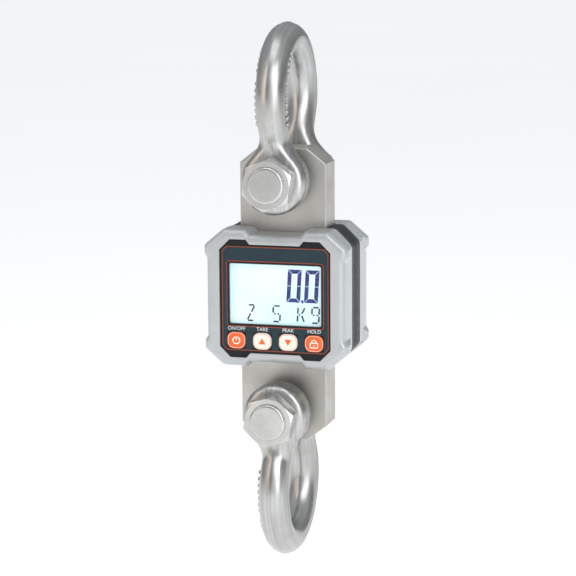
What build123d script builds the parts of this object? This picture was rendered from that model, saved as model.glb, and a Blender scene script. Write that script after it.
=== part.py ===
from build123d import *
import math
import os

# Crane scale: a flat steel load cell hung between two bow shackles, with a display housing clamped round its middle.
# Frame: +Z up, the display faces -Y, and the origin is inside the upper bow's crown, where the crane hook bears.
# All lengths are in millimetres.

# --- shackles -------------------------------------------------------------------------------------------------
seat_to_pin = 97.0  # inside of a crown to its pin axis
pin_span = 186.0  # between the two pin axes
bar_diameter = 24.4  # round bar of the bow
bow_inside = 68.0  # widest inside width of the bow
neck_angle = 30.0  # how far the bow's arc runs on below its widest point, in degrees
jaw = 43.0  # between the two ears
ear_thickness = 26.5
ear_diameter = 52.0
ear_rounding = 8.5
ear_lead = 3.0  # rounding of an ear's jaw side
shoulder_width = 20.0  # where an ear runs out into its leg
shoulder_height = 44.0
shoulder_thickness = 18.0
shoulder_inset = 1.5  # its round foot stays this far inside the ear's rim
shoulder_flare = 32.0
shoulder_rounding = 6.0
bolt_diameter = 25.0
bolt_play = 0.5  # radial clearance of the bolt in the ears and in the load cell
face_play = 0.3  # gap between an ear and what turns against it
hex_across_flats = 37.0
head_height = 14.6
crown_disc_diameter = 29.0  # round raised disc on the bolt head
crown_disc_height = 2.8
hex_turns = {"upper": 21.4, "lower": 17.0}  # how the loose bolts happen to stand, in degrees
nut_height = 20.0
nut_thread_play = 0.05
bolt_end = 13.0  # thread that stands out behind the nut
end_chamfer = 2.0
thread_grooves = 4  # seen behind the nut
thread_pitch = 3.0
thread_width = 2.6
thread_depth = 1.6
thread_play = 0.1
cotter_diameter = 5.0
cotter_play = 0.4
cotter_overhang = 2.0  # how far the split pin stands out each side of the bolt
cotter_eye = 4.2  # radius of its eye
cotter_wire_share = 0.6  # thickness of a leg and of the eye's wire, of the pin's
cotter_splay = 72.0  # how far each leg is bent out, in degrees
cotter_leg = 8.0

# --- load cell ------------------------------------------------------------------------------------------------
cell_width = 70.0
cell_thickness = 29.0
cell_end = 24.0  # pin axis to the end of the plate
cell_cut_x = 15.4  # corner cut, across
cell_cut_z = 12.0  # corner cut, along
cell_edge = 0.8
pocket_diameter = 36.0
pocket_depth = 9.0
cover_diameter = 40.0
cover_thickness = 1.5
gauge_size = (9.0, 5.0, 0.3)
gauge_spacing = 16.0
terminal_size = (12.0, 6.0, 1.0)
terminal_drop = 11.0  # below the pocket's centre

# --- housing --------------------------------------------------------------------------------------------------
shell_half_width = 56.2
shell_half_height = 54.5
shell_cut_x = 13.2
shell_cut_z = 13.0
shell_corner_rounding = 7.0
bulge = 2.2  # how far the corners stand out sideways near a shell's face
bulge_start = 20.0  # depth at which they begin to grow
bulge_full = 28.0  # depth from which they stand out fully
bulge_foot = 31.0  # half the height of the straight side between them
bulge_slope = 4.0  # height over which they rise from the side
bulge_rounding = 4.0
notch_half_width = 23.4
notch_slope = 3.2  # sideways run of a notch's sloping ends
notch_depth = 3.8
notch_rounding = 0.8
wall = 2.8
edge_rounding = 5.5
band_front = 15.0  # load cell's middle to the front edge of the side bands
band_rear = 12.0
gasket_thickness = 0.5
front_depth = 40.2  # load cell's middle to the rim round the panel
back_depth = 38.0
corner_screw_x = 46.5
corner_screw_z = 39.6
boss_radius = 5.2
m4_radius = 2.0
m4_clearance_radius = 2.2
m4_pilot_radius = 2.0
m4_head_radius = 3.5
m4_head_height = 4.0
m4_well_radius = 3.9
corner_well_depth = 8.0
corner_screw_length = 55.0
corner_pilot_depth = 16.0
band_inset = 0.4
band_groove = 1.0  # width of the band's three grooves
band_groove_pitch = 4.0
band_groove_depth = 0.6
band_to_cell = 0.1
plate_slot_play = 0.3  # sideways, between the rear shell and the load cell

# --- front panel ----------------------------------------------------------------------------------------------
label_half_width = 45.0
label_half_height = 47.0
label_cut = 8.5
label_rounding = 0.8
label_below_rim = 1.2
label_thickness = 0.5
label_play = 0.15
face_wall = 2.5  # shell wall behind the label
window_half_width = 37.3
window_half_height = 24.0
window_rise = 3.9  # window centre above the load cell's centre
window_rounding = 1.5
lens_lip = 2.0
lens_thickness = 1.5
lens_play = 0.1

# --- keys -----------------------------------------------------------------------------------------------------
key_names = ["power", "tare", "peak", "hold"]
key_pitch = 21.1
key_drop = 33.4  # key centres below the load cell's centre
key_width = 14.9
key_height = 13.2
key_rounding = 5.2
key_proud = 1.0
key_edge = 0.5
key_play = 0.25
key_flange = 1.0
key_flange_thickness = 1.1
key_travel = 0.6
key_stem_radius = 2.0
plunger_radius = 1.7
plunger_play = 0.1
plunger_reach = 1.1  # out of the switch body
plunger_inside = 1.0
switch_size = 6.0
switch_height = 3.5

# --- display module and electronics -----------------------------------------------------------------------------
glass_gap = 0.4  # shell to glass
glass_thickness = 2.8
glass_border = 1.9
frame_wall = 1.0
stack_play = 0.1
board_half_width = 39.8
board_top = 45.5
board_bottom = 47.2
board_thickness = 1.6
board_front = 27.5  # load cell's middle to the board's front face
board_screw_x = 30.0
board_screw_top = 42.0
board_screw_bottom = 44.2
board_boss_radius = 2.6
m2_radius = 1.1
m2_head_radius = 2.2
m2_head_height = 1.6
m2_length = 7.0
connector_size = (8.0, 5.0, 8.0)
radio_size = (18.0, 3.4, 12.0)
antenna_radius = 2.6
antenna_wire = 0.45
antenna_length = 14.0
antenna_pitch = 1.8
cable_radius = 1.5

# --- batteries ------------------------------------------------------------------------------------------------
cell_count = 4
battery_radius = 7.1
battery_length = 49.5
battery_nub_radius = 2.7
battery_nub = 1.0
battery_pitch = 14.7
tray_wall = 1.5
tray_floor_front = 18.8  # load cell's middle to the tray floor's front face
tray_half_height = 28.75
contact_thickness = 0.4
contact_size = 11.0
spring_radius = 3.2
spring_wire = 0.35
spring_turns = 4
door_width = 84.0
door_height = 63.0
door_rounding = 5.0
door_thickness = 1.6
door_play = 0.25
door_gasket = 0.4
door_gasket_width = 3.0
door_screw_x = 37.5
door_boss_radius = 3.2
door_boss_depth = 9.0
m3_radius = 1.5
m3_head_radius = 2.8
m3_head_height = 1.4
m3_length = 7.0
well_z = 38.0  # screws that hold the housing to the load cell
well_column_radius = 5.4
well_floor = 5.4  # column left under a screw head
cell_screw_length = 13.0
cell_thread_depth = 9.0

# --- places that follow from the sizes --------------------------------------------------------------------------
upper_pin_z = -seat_to_pin
lower_pin_z = upper_pin_z - pin_span
centre_z = (upper_pin_z + lower_pin_z) / 2
ear_y = jaw / 2 + ear_thickness / 2
ear_face = jaw / 2 + ear_thickness
bow_radius = (bow_inside + bar_diameter) / 2
label_front = front_depth - label_below_rim
label_back = label_front - label_thickness
face_inner = label_back - face_wall
board_back = board_front - board_thickness
cell_face = cell_thickness / 2
plate_seat = cell_face + gasket_thickness
back_inner = back_depth - wall
door_seat = back_depth - door_thickness - door_gasket
tray_floor_back = tray_floor_front + tray_wall
tray_half_width = cell_count * battery_pitch / 2 + stack_play
battery_y = tray_floor_back + battery_radius
corner_spots = [(x, z) for x in (-corner_screw_x, corner_screw_x) for z in (-corner_screw_z, corner_screw_z)]
board_spots = [(x, z) for x in (-board_screw_x, board_screw_x) for z in (board_screw_top, -board_screw_bottom)]
key_spots = [((i - (len(key_names) - 1) / 2) * key_pitch, -key_drop) for i in range(len(key_names))]


def front(y, z=centre_z):
    """The plane at that depth that looks out of the front: its x is the frame's X, its y the frame's Z."""
    return Plane(origin=(0, y, z), x_dir=(1, 0, 0), z_dir=(0, -1, 0))


def save(builder, name):
    builder.part.label = name
    export_step(builder.part, f"parts/{name}.step")


# === shackles ===================================================================================================


def shackle_planes(pin_z, up):
    """The bow's own plane and the plane across its pin; y of both runs from the pin to the crown."""
    bow = Plane(origin=(0, 0, pin_z), x_dir=(0, 1, 0), z_dir=(up, 0, 0))
    pin = Plane(origin=(0, 0, pin_z), x_dir=(up, 0, 0), z_dir=(0, -1, 0))
    return bow, pin


def ear_disc(pin_plane, side):
    """One ear, rounded over its rims; side is 1 for the front ear and -1 for the rear one."""
    with BuildPart() as ear:
        with BuildSketch(pin_plane.offset(side * jaw / 2)):
            Circle(ear_diameter / 2)
        extrude(amount=side * ear_thickness)
        rims = ear.edges().filter_by(GeomType.CIRCLE).sort_by(Axis.Y, reverse=side == -1)
        fillet(rims[0], radius=ear_rounding)
        fillet(rims[-1], radius=ear_lead)
    return ear.part


def ear_shoulder(pin_plane, side):
    """The flare that carries an ear's round outline over into its leg."""
    with BuildPart() as shoulder:
        with BuildSketch(pin_plane.offset(side * (ear_y - shoulder_thickness / 2))) as profile:
            Circle(ear_diameter / 2 - shoulder_inset)
            with Locations((0, shoulder_height / 2)):
                Rectangle(shoulder_width, shoulder_height)
            fillet(profile.vertices().group_by(Axis.Y)[-2], radius=shoulder_flare)
        extrude(amount=side * shoulder_thickness)
        rims = shoulder.edges().group_by(Axis.Y)
        fillet(rims[0] + rims[-1], radius=shoulder_rounding)
    return shoulder.part


def make_bow(name, pin_z, up):
    bow_plane, pin_plane = shackle_planes(pin_z, up)
    ears = [ear_disc(pin_plane, side) for side in (1, -1)]
    shoulders = [ear_shoulder(pin_plane, side) for side in (1, -1)]
    crown_centre = seat_to_pin - bow_inside / 2
    angle = math.radians(neck_angle)
    reverse_radius = (bow_radius * math.cos(angle) - ear_y) / (1 - math.cos(angle))
    reach = bow_radius + reverse_radius
    reverse_x = reach * math.cos(angle)
    reverse_z = crown_centre - reach * math.sin(angle)
    with BuildPart() as bow:
        with BuildLine(bow_plane) as route:
            Line((ear_y, 0), (ear_y, reverse_z))
            CenterArc((reverse_x, reverse_z), reverse_radius, 180, -neck_angle)
            CenterArc((0, crown_centre), bow_radius, -neck_angle, 180 + 2 * neck_angle)
            CenterArc((-reverse_x, reverse_z), reverse_radius, neck_angle, -neck_angle)
            Line((-ear_y, reverse_z), (-ear_y, 0))
        with BuildSketch(Plane(origin=(0, ear_y, pin_z), x_dir=(1, 0, 0), z_dir=bow_plane.y_dir)):
            Circle(bar_diameter / 2)
        sweep(path=route.line)
        add(ears)
        add(shoulders)
        with BuildSketch(bow_plane):
            Rectangle(jaw, ear_diameter)
        extrude(amount=ear_diameter / 2, both=True, mode=Mode.SUBTRACT)
        with BuildSketch(pin_plane):
            Circle(bolt_diameter / 2 + bolt_play)
        extrude(amount=ear_face + ear_lead, both=True, mode=Mode.SUBTRACT)
    save(bow, f"{name}_bow")


def hexagon_prism(plane, height, turn, chamfered):
    """A hexagon whose corners are cut back by a cone at the ends named in chamfered."""
    corner = hex_across_flats / math.sqrt(3)
    flat = hex_across_flats / 2
    drop = (corner - flat) * math.tan(math.radians(30))
    low = drop if "back" in chamfered else 0
    high = height - drop if "front" in chamfered else height
    with BuildPart() as prism:
        with BuildSketch(plane):
            RegularPolygon(radius=flat, side_count=6, major_radius=False, rotation=turn)
        extrude(amount=height)
        with BuildSketch(Plane(origin=plane.origin, x_dir=plane.x_dir, z_dir=-plane.y_dir)):
            Polygon(
                (0, 0),
                (flat if low else corner, 0),
                (corner, low),
                (corner, high),
                (flat if high < height else corner, height),
                (0, height),
                align=None,
            )
        revolve(axis=Axis(plane.origin, plane.z_dir), mode=Mode.INTERSECT)
    return prism.part


def make_bolt(name, pin_z, up, turn):
    _, pin_plane = shackle_planes(pin_z, up)
    seat = ear_face + face_play
    shank = 2 * seat + nut_height + bolt_end
    hole_y = seat + nut_height + bolt_end / 2
    head = hexagon_prism(pin_plane.offset(seat), head_height, turn, ("front",))
    with BuildPart() as bolt:
        add(head)
        with BuildSketch(pin_plane.offset(seat + head_height)):
            Circle(crown_disc_diameter / 2)
        extrude(amount=crown_disc_height)
        fillet(bolt.edges().group_by(Axis.Y)[0], radius=crown_disc_height * 0.75)
        with BuildSketch(pin_plane.offset(seat)):
            Circle(bolt_diameter / 2)
        extrude(amount=-shank)
        chamfer(bolt.edges().group_by(Axis.Y)[-1], length=end_chamfer)
        for i in range(thread_grooves):
            groove_y = seat + nut_height + (i + 0.5) * thread_pitch
            with BuildSketch(Plane(origin=(0, groove_y, pin_z), x_dir=(0, 1, 0), z_dir=(1, 0, 0))):
                rim = bolt_diameter / 2 + thread_play
                Polygon((-thread_width / 2, rim), (thread_width / 2, rim), (0, rim - thread_depth), align=None)
            revolve(axis=Axis((0, 0, pin_z), (0, 1, 0)), mode=Mode.SUBTRACT)
        with BuildSketch(Plane(origin=(0, hole_y, pin_z), x_dir=(0, 1, 0), z_dir=(1, 0, 0))):
            Circle(cotter_diameter / 2 + cotter_play)
        extrude(amount=bolt_diameter, both=True, mode=Mode.SUBTRACT)
    save(bolt, f"{name}_bolt")


def make_nut(name, pin_z, up, turn):
    _, pin_plane = shackle_planes(pin_z, up)
    inner_plane = pin_plane.offset(-ear_face - face_play - nut_height)
    body = hexagon_prism(inner_plane, nut_height, turn, ("front", "back"))
    with BuildPart() as nut:
        add(body)
        with BuildSketch(pin_plane.offset(-ear_face)):
            Circle(bolt_diameter / 2 + nut_thread_play)
        extrude(amount=-nut_height - 2 * face_play, mode=Mode.SUBTRACT)
    save(nut, f"{name}_nut")


def make_cotter(name, pin_z, up):
    """A split pin across the bolt's end: a round pin with an eye on its left and two legs bent apart on its right."""
    y = ear_face + face_play + nut_height + bolt_end / 2
    half = bolt_diameter / 2 + cotter_overhang
    wire = cotter_diameter * cotter_wire_share / 2
    with BuildPart() as pin:
        with BuildSketch(Plane(origin=(-half, y, pin_z), x_dir=(0, 1, 0), z_dir=(1, 0, 0))):
            Circle(cotter_diameter / 2)
        extrude(amount=2 * half)
        for side in (-1, 1):
            lean = math.radians(cotter_splay)
            foot = (half - wire, y, pin_z + side * (cotter_diameter / 2 - wire))
            along = (math.cos(lean), 0, side * math.sin(lean))
            with BuildSketch(Plane(origin=foot, x_dir=(0, 1, 0), z_dir=along)):
                Circle(wire)
            extrude(amount=cotter_leg)
        with Locations(Location((-half - cotter_eye, y, pin_z), (90, 0, 0))):
            Torus(cotter_eye, wire)
    save(pin, f"{name}_split_pin")


# === load cell ==================================================================================================


def make_load_cell():
    half_length = pin_span / 2 + cell_end
    half_width = cell_width / 2
    with BuildPart() as cell:
        with BuildSketch(front(0)):
            quarter = [(half_width - cell_cut_x, half_length), (half_width, half_length - cell_cut_z)]
            right = quarter + [(x, -z) for x, z in reversed(quarter)]
            Polygon(*right, *[(-x, -z) for x, z in right])
        extrude(amount=cell_face, both=True)
        chamfer(cell.edges().group_by(Axis.Y)[0] + cell.edges().group_by(Axis.Y)[-1], length=cell_edge)
        with BuildSketch(front(0)):
            with Locations((0, pin_span / 2), (0, -pin_span / 2)):
                Circle(bolt_diameter / 2 + bolt_play)
        extrude(amount=cell_thickness, both=True, mode=Mode.SUBTRACT)
        for side in (1, -1):
            with BuildSketch(front(-side * cell_face)):
                Circle(pocket_diameter / 2)
            extrude(amount=-side * pocket_depth, mode=Mode.SUBTRACT)
            with BuildSketch(front(-side * cell_face)):
                Circle(cover_diameter / 2)
            extrude(amount=-side * cover_thickness, mode=Mode.SUBTRACT)
        with BuildSketch(front(cell_face)):
            with Locations((0, well_z), (0, -well_z)):
                Circle(m4_radius)
        extrude(amount=cell_thread_depth, mode=Mode.SUBTRACT)
    save(cell, "load_cell_plate")


def make_pocket_covers():
    for name, side in (("front_pocket_cover", -1), ("rear_pocket_cover", 1)):
        with BuildPart() as cover:
            with BuildSketch(front(side * cell_face)):
                Circle(cover_diameter / 2)
                if side < 0:
                    Circle(cable_radius, mode=Mode.SUBTRACT)
            extrude(amount=side * cover_thickness)
        save(cover, name)


def make_gauges():
    """Two foil gauges on each side of the thinned web, and the terminal board in the front pocket."""
    web = cell_face - pocket_depth
    width, height, thickness = gauge_size
    with BuildPart() as gauges:
        for side in (-1, 1):
            with BuildSketch(front(side * web)):
                with Locations((-gauge_spacing / 2, 0), (gauge_spacing / 2, 0)):
                    Rectangle(height, width)
            extrude(amount=-side * thickness)
    save(gauges, "strain_gauges")
    width, height, thickness = terminal_size
    with BuildPart() as board:
        with BuildSketch(front(-web)):
            with Locations((0, -terminal_drop)):
                Rectangle(width, height)
        extrude(amount=thickness)
    save(board, "gauge_terminal_board")


# === housing ====================================================================================================


def badge(half_width, half_height, cut_x, cut_z, corner_radius, side_step=0.0):
    """A face with cut corners, a notch in its top and bottom edges and, if asked, hollowed sides."""
    quarter = [
        (notch_half_width - notch_slope, half_height - notch_depth),
        (notch_half_width, half_height),
        (half_width - cut_x, half_height),
        (half_width, half_height - cut_z),
    ]
    if side_step:
        quarter += [(half_width, bulge_foot + bulge_slope), (half_width - side_step, bulge_foot)]
    right = quarter + [(x, -z) for x, z in reversed(quarter)]
    with BuildSketch() as face:
        Polygon(*right, *[(-x, -z) for x, z in right])
        corners = face.vertices().filter_by(
            lambda v: abs(v.X) > notch_half_width + 1 and abs(v.Y) > bulge_foot + bulge_slope + 0.1
        )
        fillet(corners, radius=corner_radius)
        fillet(face.vertices().filter_by(lambda v: abs(v.X) < notch_half_width + 0.1), radius=notch_rounding)
    return face.sketch


def shell_outline():
    return badge(shell_half_width, shell_half_height, shell_cut_x, shell_cut_z, shell_corner_rounding)


def cavity_outline():
    with BuildSketch() as inside:
        add(shell_outline())
        offset(amount=-wall, kind=Kind.INTERSECTION)
    return inside.sketch


def label_outline(grow=0.0):
    return badge(label_half_width + grow, label_half_height + grow, label_cut, label_cut, label_rounding)


def corner_bulges(depth, facing):
    """The shell's face with its corners standing out sideways, growing from the straight side wall."""
    wide = shell_half_width + bulge
    with BuildPart() as block:
        with BuildSketch(front(-facing * bulge_start)):
            add(badge(wide, shell_half_height, shell_cut_x + bulge, shell_cut_z, bulge_rounding, bulge))
        extrude(amount=facing * (depth - bulge_start))
        with BuildSketch(Plane.XY.offset(centre_z)):
            profile = [(shell_half_width, bulge_start), (wide, bulge_full), (wide, depth)]
            right = [(x, -facing * y) for x, y in profile]
            Polygon(*right, *[(-x, y) for x, y in reversed(right)], align=None)
        extrude(amount=shell_half_height, both=True, mode=Mode.INTERSECT)
    return block.part


def shell_block(start, depth, facing):
    """A shell's outer form from its side band out to its face; facing is 1 for the front and -1 for the back."""
    bulges = corner_bulges(depth, facing)
    with BuildPart() as block:
        with BuildSketch(front(-facing * start)):
            add(shell_outline())
        extrude(amount=facing * (depth - start))
        add(bulges)
        fillet(block.faces().sort_by(Axis.Y)[0 if facing == 1 else -1].edges(), radius=edge_rounding)
    return block.part


def make_front_housing():
    block = shell_block(band_front, front_depth, 1)
    with BuildPart() as shell:
        add(block)
        with BuildSketch(front(-band_front)):
            add(cavity_outline())
        extrude(amount=face_inner - band_front, mode=Mode.SUBTRACT)
        with BuildSketch(front(-band_front)):
            with Locations(*corner_spots):
                Circle(boss_radius)
        extrude(amount=face_inner - band_front + 1)
        with BuildSketch(front(-board_front)):
            with Locations(*board_spots):
                Circle(board_boss_radius)
        extrude(amount=face_inner - board_front + 1)
        with BuildSketch(front(-front_depth)):
            add(label_outline(label_play))
        extrude(amount=-label_below_rim - label_thickness, mode=Mode.SUBTRACT)
        with BuildSketch(front(-label_back)):
            with Locations((0, window_rise)):
                RectangleRounded(
                    2 * (window_half_width + lens_lip),
                    2 * (window_half_height + lens_lip),
                    window_rounding + lens_lip,
                )
        extrude(amount=-lens_thickness, mode=Mode.SUBTRACT)
        with BuildSketch(front(-label_back)):
            with Locations((0, window_rise)):
                RectangleRounded(2 * window_half_width, 2 * window_half_height, window_rounding)
            with Locations(*key_spots):
                RectangleRounded(key_width + 2 * key_play, key_height + 2 * key_play, key_rounding + key_play)
        extrude(amount=-face_wall, mode=Mode.SUBTRACT)
        with BuildSketch(front(-band_front)):
            with Locations(*corner_spots):
                Circle(m4_pilot_radius)
        extrude(amount=corner_pilot_depth, mode=Mode.SUBTRACT)
        with BuildSketch(front(-board_front)):
            with Locations(*board_spots):
                Circle(m2_radius)
        extrude(amount=m2_length, mode=Mode.SUBTRACT)
    save(shell, "front_housing")


def make_rear_housing():
    """The rear shell, with the battery tray moulded in and two columns that stand on the load cell."""
    tray_outer = (2 * (tray_half_width + tray_wall), 2 * (tray_half_height + tray_wall))
    block = shell_block(band_rear, back_depth, -1)
    with BuildPart() as shell:
        add(block)
        with BuildSketch(front(band_rear)):
            add(cavity_outline())
        extrude(amount=-(back_inner - band_rear), mode=Mode.SUBTRACT)
        with BuildSketch(front(band_rear)):
            Rectangle(cell_width + 2 * plate_slot_play, 3 * shell_half_height)
        extrude(amount=band_rear - plate_seat, mode=Mode.SUBTRACT)
        with BuildSketch(front(band_rear)):
            with Locations(*corner_spots):
                Circle(boss_radius)
        extrude(amount=-(back_inner - band_rear) - 1)
        with BuildSketch(front(cell_face)):
            with Locations((0, well_z), (0, -well_z)):
                Circle(well_column_radius)
        extrude(amount=-(back_inner - cell_face) - 1)
        with BuildSketch(front(tray_floor_front)):
            Rectangle(*tray_outer)
        extrude(amount=-(back_inner - tray_floor_front) - 0.5)
        with BuildSketch(front(back_depth - door_boss_depth)):
            with Locations((-door_screw_x, 0), (door_screw_x, 0)):
                Circle(door_boss_radius)
        extrude(amount=-(back_inner + 0.5 - back_depth + door_boss_depth))
        with BuildSketch(front(back_depth)):
            Rectangle(2 * tray_half_width, 2 * tray_half_height)
        extrude(amount=back_depth - tray_floor_back, mode=Mode.SUBTRACT)
        with BuildSketch(front(back_depth)):
            RectangleRounded(door_width + 2 * door_play, door_height + 2 * door_play, door_rounding + door_play)
        extrude(amount=back_depth - door_seat, mode=Mode.SUBTRACT)
        with BuildSketch(front(back_depth)):
            with Locations((-door_screw_x, 0), (door_screw_x, 0)):
                Circle(m3_radius)
        extrude(amount=door_thickness + m3_length, mode=Mode.SUBTRACT)
        with BuildSketch(front(back_depth)):
            with Locations(*corner_spots):
                Circle(m4_well_radius)
        extrude(amount=corner_well_depth, mode=Mode.SUBTRACT)
        with BuildSketch(front(back_depth)):
            with Locations((0, well_z), (0, -well_z)):
                Circle(m4_well_radius)
        extrude(amount=back_depth - cell_face - well_floor, mode=Mode.SUBTRACT)
        with BuildSketch(front(back_depth)):
            with Locations(*corner_spots, (0, well_z), (0, -well_z)):
                Circle(m4_clearance_radius)
        extrude(amount=back_depth, mode=Mode.SUBTRACT)
        with BuildSketch(Plane(origin=(0, tray_floor_back + 3, centre_z + 10), x_dir=(0, 1, 0), z_dir=(1, 0, 0))):
            Circle(cable_radius)
        extrude(amount=tray_half_width + 2 * tray_wall, mode=Mode.SUBTRACT)
    save(shell, "rear_housing")


def inset_outline(amount):
    """The shell's outline moved in by that much."""
    with BuildSketch() as outline:
        add(shell_outline())
        offset(amount=-amount, kind=Kind.INTERSECTION)
    return outline.sketch


def make_side_bands():
    """The two black bands between the shells, one each side of the load cell, grooved round the middle."""
    edge = cell_width / 2 + band_to_cell
    band_middle = (band_rear - band_front) / 2
    for name, side in (("left_side_band", -1), ("right_side_band", 1)):
        bosses = [spot for spot in corner_spots if spot[0] * side > 0]
        with BuildPart() as band:
            with BuildSketch(front(-band_front)):
                add(inset_outline(band_inset))
                add(inset_outline(band_inset + wall), mode=Mode.SUBTRACT)
                with Locations(*bosses):
                    Circle(boss_radius)
                with Locations((side * (edge + shell_half_width) / 2, 0)):
                    Rectangle(shell_half_width - edge, 3 * shell_half_height, mode=Mode.INTERSECT)
                with Locations(*bosses):
                    Circle(m4_clearance_radius, mode=Mode.SUBTRACT)
            extrude(amount=-band_front - band_rear)
            for step in (-1, 0, 1):
                with BuildSketch(front(band_middle + step * band_groove_pitch)):
                    add(inset_outline(0))
                    add(inset_outline(band_inset + band_groove_depth), mode=Mode.SUBTRACT)
                extrude(amount=band_groove / 2, both=True, mode=Mode.SUBTRACT)
        save(band, name)


def make_plate_gaskets():
    """Four strips that seal the shells' edges against the load cell's faces, above and below."""
    with BuildPart() as strips:
        for side in (-1, 1):
            with BuildSketch(front(side * plate_seat)):
                add(shell_outline())
                add(cavity_outline(), mode=Mode.SUBTRACT)
                Rectangle(cell_width, 3 * shell_half_height, mode=Mode.INTERSECT)
            extrude(amount=side * gasket_thickness)
    save(strips, "plate_gaskets")


# === front panel and keys =======================================================================================


def make_label():
    with BuildPart() as label:
        with BuildSketch(front(-label_back)):
            add(label_outline())
            with Locations((0, window_rise)):
                RectangleRounded(2 * window_half_width, 2 * window_half_height, window_rounding, mode=Mode.SUBTRACT)
            with Locations(*key_spots):
                RectangleRounded(
                    key_width + 2 * key_play,
                    key_height + 2 * key_play,
                    key_rounding + key_play,
                    mode=Mode.SUBTRACT,
                )
        extrude(amount=label_thickness)
    save(label, "panel_label")


def make_lens():
    grow = lens_lip - lens_play
    with BuildPart() as lens:
        with BuildSketch(front(-label_back + lens_thickness)):
            with Locations((0, window_rise)):
                RectangleRounded(
                    2 * (window_half_width + grow), 2 * (window_half_height + grow), window_rounding + grow
                )
        extrude(amount=lens_thickness)
    save(lens, "window_lens")


def make_keys():
    """Each key is held by a flange behind the shell, and its stem bears on the plunger of its own switch."""
    plunger_top = board_front + switch_height + plunger_reach
    for name, spot in zip(key_names, key_spots):
        with BuildPart() as key:
            with BuildSketch(front(-face_inner)):
                with Locations(spot):
                    RectangleRounded(key_width, key_height, key_rounding)
            extrude(amount=label_front + key_proud - face_inner)
            fillet(key.edges().group_by(Axis.Y)[0], radius=key_edge)
            with BuildSketch(front(-face_inner)):
                with Locations(spot):
                    RectangleRounded(
                        key_width + 2 * key_flange, key_height + 2 * key_flange, key_rounding + key_flange
                    )
            extrude(amount=-key_flange_thickness)
            with BuildSketch(front(-plunger_top)):
                with Locations(spot):
                    Circle(key_stem_radius)
            extrude(amount=face_inner - plunger_top)
        save(key, f"{name}_key")
        with BuildPart() as plunger:
            with BuildSketch(front(-plunger_top)):
                with Locations(spot):
                    Circle(plunger_radius)
            extrude(amount=-plunger_reach - plunger_inside)
        save(plunger, f"{name}_plunger")


def make_switches():
    with BuildPart() as switches:
        with BuildSketch(front(-board_front)):
            with Locations(*key_spots):
                Rectangle(switch_size, switch_size)
        extrude(amount=switch_height)
        with BuildSketch(front(-board_front - switch_height)):
            with Locations(*key_spots):
                Circle(plunger_radius + plunger_play)
        extrude(amount=-plunger_inside - key_travel - 2 * plunger_play, mode=Mode.SUBTRACT)
    save(switches, "key_switches")


# === display module and electronics =============================================================================


def make_display():
    glass_front = face_inner - glass_gap
    half_width = window_half_width + glass_border
    half_height = window_half_height + glass_border
    with BuildPart() as glass:
        with BuildSketch(front(-glass_front + glass_thickness)):
            with Locations((0, window_rise)):
                Rectangle(2 * half_width, 2 * half_height)
        extrude(amount=glass_thickness)
    save(glass, "display_glass")
    with BuildPart() as light:
        with BuildSketch(front(-board_front - stack_play)):
            with Locations((0, window_rise)):
                Rectangle(2 * (half_width - stack_play), 2 * (half_height - stack_play))
        extrude(amount=glass_front - glass_thickness - board_front - 2 * stack_play)
    save(light, "backlight")
    with BuildPart() as frame:
        with BuildSketch(front(-board_front)):
            with Locations((0, window_rise)):
                outer = stack_play + frame_wall
                Rectangle(2 * (half_width + outer), 2 * (half_height + outer))
                Rectangle(2 * (half_width + stack_play), 2 * (half_height + stack_play), mode=Mode.SUBTRACT)
        extrude(amount=glass_front - board_front)
    save(frame, "display_frame")


def make_board():
    with BuildPart() as board:
        with BuildSketch(front(-board_back)):
            with Locations((0, (board_top - board_bottom) / 2)):
                Rectangle(2 * board_half_width, board_top + board_bottom)
            with Locations(*board_spots):
                Circle(m2_radius, mode=Mode.SUBTRACT)
        extrude(amount=board_thickness)
    save(board, "main_board")
    with BuildPart() as screws:
        with BuildSketch(front(-board_back)):
            with Locations(*board_spots):
                Circle(m2_head_radius)
        extrude(amount=-m2_head_height)
        with BuildSketch(front(-board_back)):
            with Locations(*board_spots):
                Circle(m2_radius)
        extrude(amount=board_thickness + m2_length - 1)
    save(screws, "board_screws")


def make_board_parts():
    with BuildPart() as chips:
        with BuildSketch(front(-board_back)):
            with Locations((-8, 12)):
                Rectangle(10, 10)
            with Locations((12, -12)):
                Rectangle(10, 5)
        extrude(amount=-1.5)
    save(chips, "board_chips")
    width, height, length = connector_size
    with BuildPart() as sockets:
        with BuildSketch(front(-board_back)):
            with Locations((0, -30), (30, 10)):
                Rectangle(width, length)
        extrude(amount=-height)
    save(sockets, "board_sockets")
    width, height, length = radio_size
    with BuildPart() as radio:
        with BuildSketch(front(-board_back)):
            with Locations((-18, 32)):
                Rectangle(width, length)
        extrude(amount=-height)
    save(radio, "radio_module")
    y = -board_back + antenna_radius + antenna_wire
    with BuildPart() as antenna:
        with BuildLine(Plane.XY):
            coil = Helix(
                pitch=antenna_pitch, height=antenna_length, radius=antenna_radius, center=(-34, y, centre_z + 22)
            )
        with BuildSketch(Plane(origin=coil @ 0, z_dir=coil % 0)):
            Circle(antenna_wire)
        sweep(path=coil, is_frenet=True)
    save(antenna, "radio_antenna")


def make_cable(name, points, radii):
    with BuildPart() as cable:
        with BuildLine() as route:
            FilletPolyline(*points, radius=radii)
        wire = route.wires()[0]
        with BuildSketch(Plane(origin=wire @ 0, z_dir=wire % 0)):
            Circle(cable_radius)
        sweep(path=wire)
    save(cable, name)


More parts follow.
